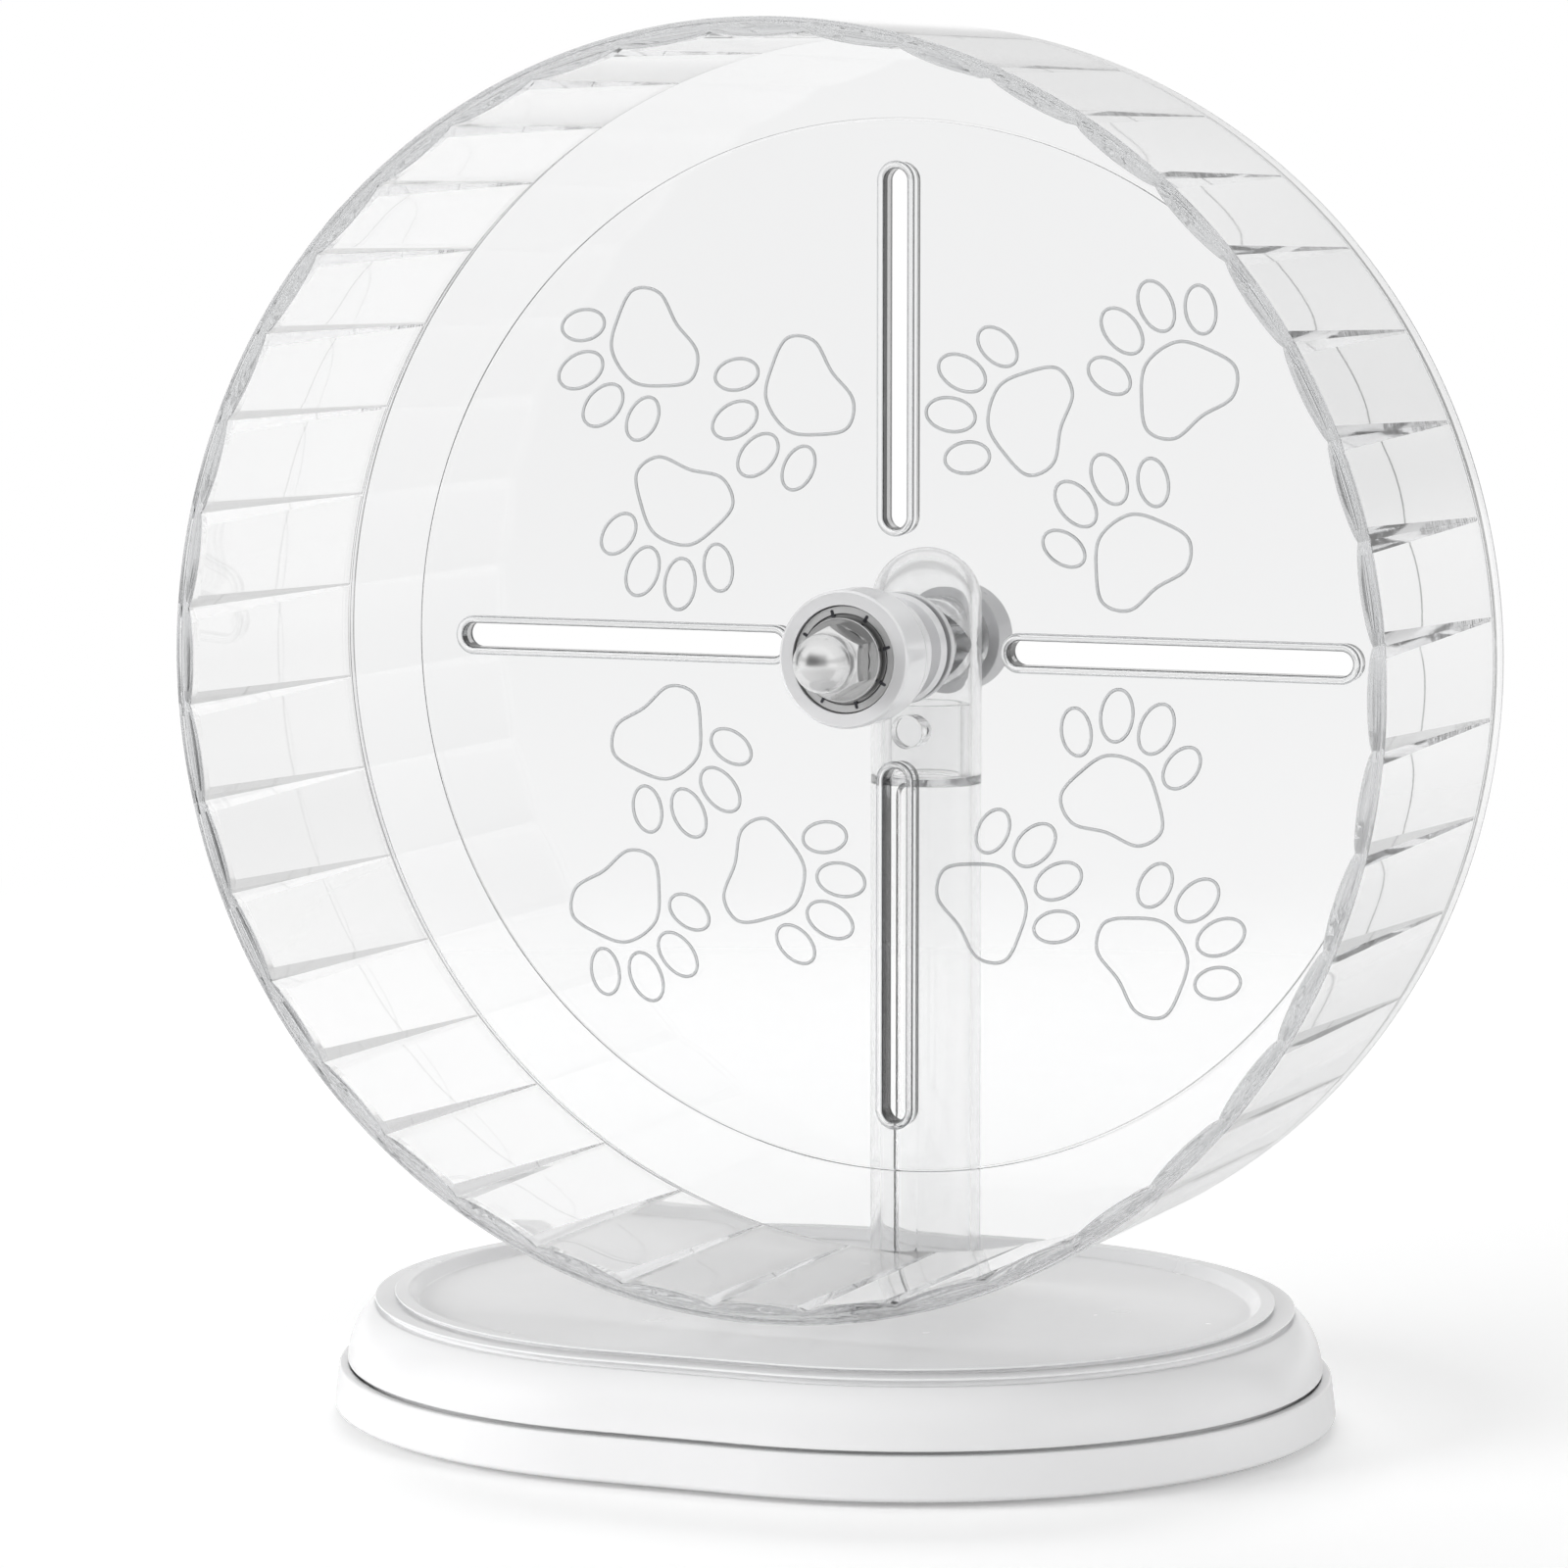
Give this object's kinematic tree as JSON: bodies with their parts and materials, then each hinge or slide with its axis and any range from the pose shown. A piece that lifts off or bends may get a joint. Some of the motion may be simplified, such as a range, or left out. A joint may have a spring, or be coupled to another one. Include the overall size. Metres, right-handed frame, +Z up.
{
  "type": "hamster wheel",
  "caption": "Clear hamster running wheel: a drum open at the front with a slotted back disc, turning on a ball-bearing hub carried by a clear column on a white oblong base.",
  "frame": {"origin": "on the floor under the middle of the base, at the underside of the rubber feet", "axes": "+Z up; the axle runs along Y, with the open side of the drum at -Y and the column at +Y; +X is to the right of someone looking into the drum"},
  "size_m": [0.26, 0.1744, 0.2851],
  "materials": {
    "clear_plastic": "clear, polished",
    "white_plastic": "gloss",
    "grey_plastic": "semi-gloss",
    "cage_plastic": "moulded",
    "bearing_steel": "ground",
    "dark_steel": "pressed",
    "chrome": "polished",
    "rubber": "matte"
  },
  "bodies": {
    "stand": {"base_pan": "white_plastic", "base_cover": "white_plastic", "rubber_foot_1": "rubber", "rubber_foot_2": "rubber", "rubber_foot_3": "rubber", "rubber_foot_4": "rubber", "base_screw_1": "bearing_steel", "base_screw_2": "bearing_steel", "base_screw_3": "bearing_steel", "base_screw_4": "bearing_steel", "column_screw_1": "bearing_steel", "column_screw_2": "bearing_steel", "column_post": "clear_plastic", "column_head": "clear_plastic", "lock_pin": "clear_plastic", "axle_bolt": "bearing_steel", "rear_washer": "bearing_steel", "rear_cap": "grey_plastic", "axle_spacer": "bearing_steel", "bearing_spacer": "bearing_steel", "front_bearing_inner_ring": "bearing_steel", "rear_bearing_inner_ring": "bearing_steel", "front_washer": "bearing_steel", "acorn_nut": "chrome"},
    "wheel": {"running_drum": "clear_plastic", "back_disc": "clear_plastic", "hub_sleeve": "white_plastic", "hub_clamp_ring": "white_plastic", "front_bearing_outer_ring": "bearing_steel", "rear_bearing_outer_ring": "bearing_steel", "front_bearing_shield": "dark_steel", "rear_bearing_shield": "dark_steel"},
    "front_ball_set": {"front_ball_cage": "cage_plastic", "front_ball_1": "bearing_steel", "front_ball_2": "bearing_steel", "front_ball_3": "bearing_steel", "front_ball_4": "bearing_steel", "front_ball_5": "bearing_steel", "front_ball_6": "bearing_steel", "front_ball_7": "bearing_steel"},
    "rear_ball_set": {"rear_ball_cage": "cage_plastic", "rear_ball_1": "bearing_steel", "rear_ball_2": "bearing_steel", "rear_ball_3": "bearing_steel", "rear_ball_4": "bearing_steel", "rear_ball_5": "bearing_steel", "rear_ball_6": "bearing_steel", "rear_ball_7": "bearing_steel"}
  },
  "joints": [
    {"name": "wheel_spin", "type": "hinge", "parent": "stand", "child": "wheel", "pos_m": [0, 0, 0.1551], "axis": [0, 1, 0], "continuous": true},
    {"name": "front_cage_spin", "type": "hinge", "parent": "stand", "child": "front_ball_set", "pos_m": [0, 0, 0.1551], "axis": [0, 1, 0], "continuous": true},
    {"name": "rear_cage_spin", "type": "hinge", "parent": "stand", "child": "rear_ball_set", "pos_m": [0, 0, 0.1551], "axis": [0, 1, 0], "continuous": true}
  ],
  "couplings": [
    {"joint": "front_cage_spin", "follows": "wheel_spin", "ratio": 0.6323},
    {"joint": "rear_cage_spin", "follows": "wheel_spin", "ratio": 0.6323}
  ]
}
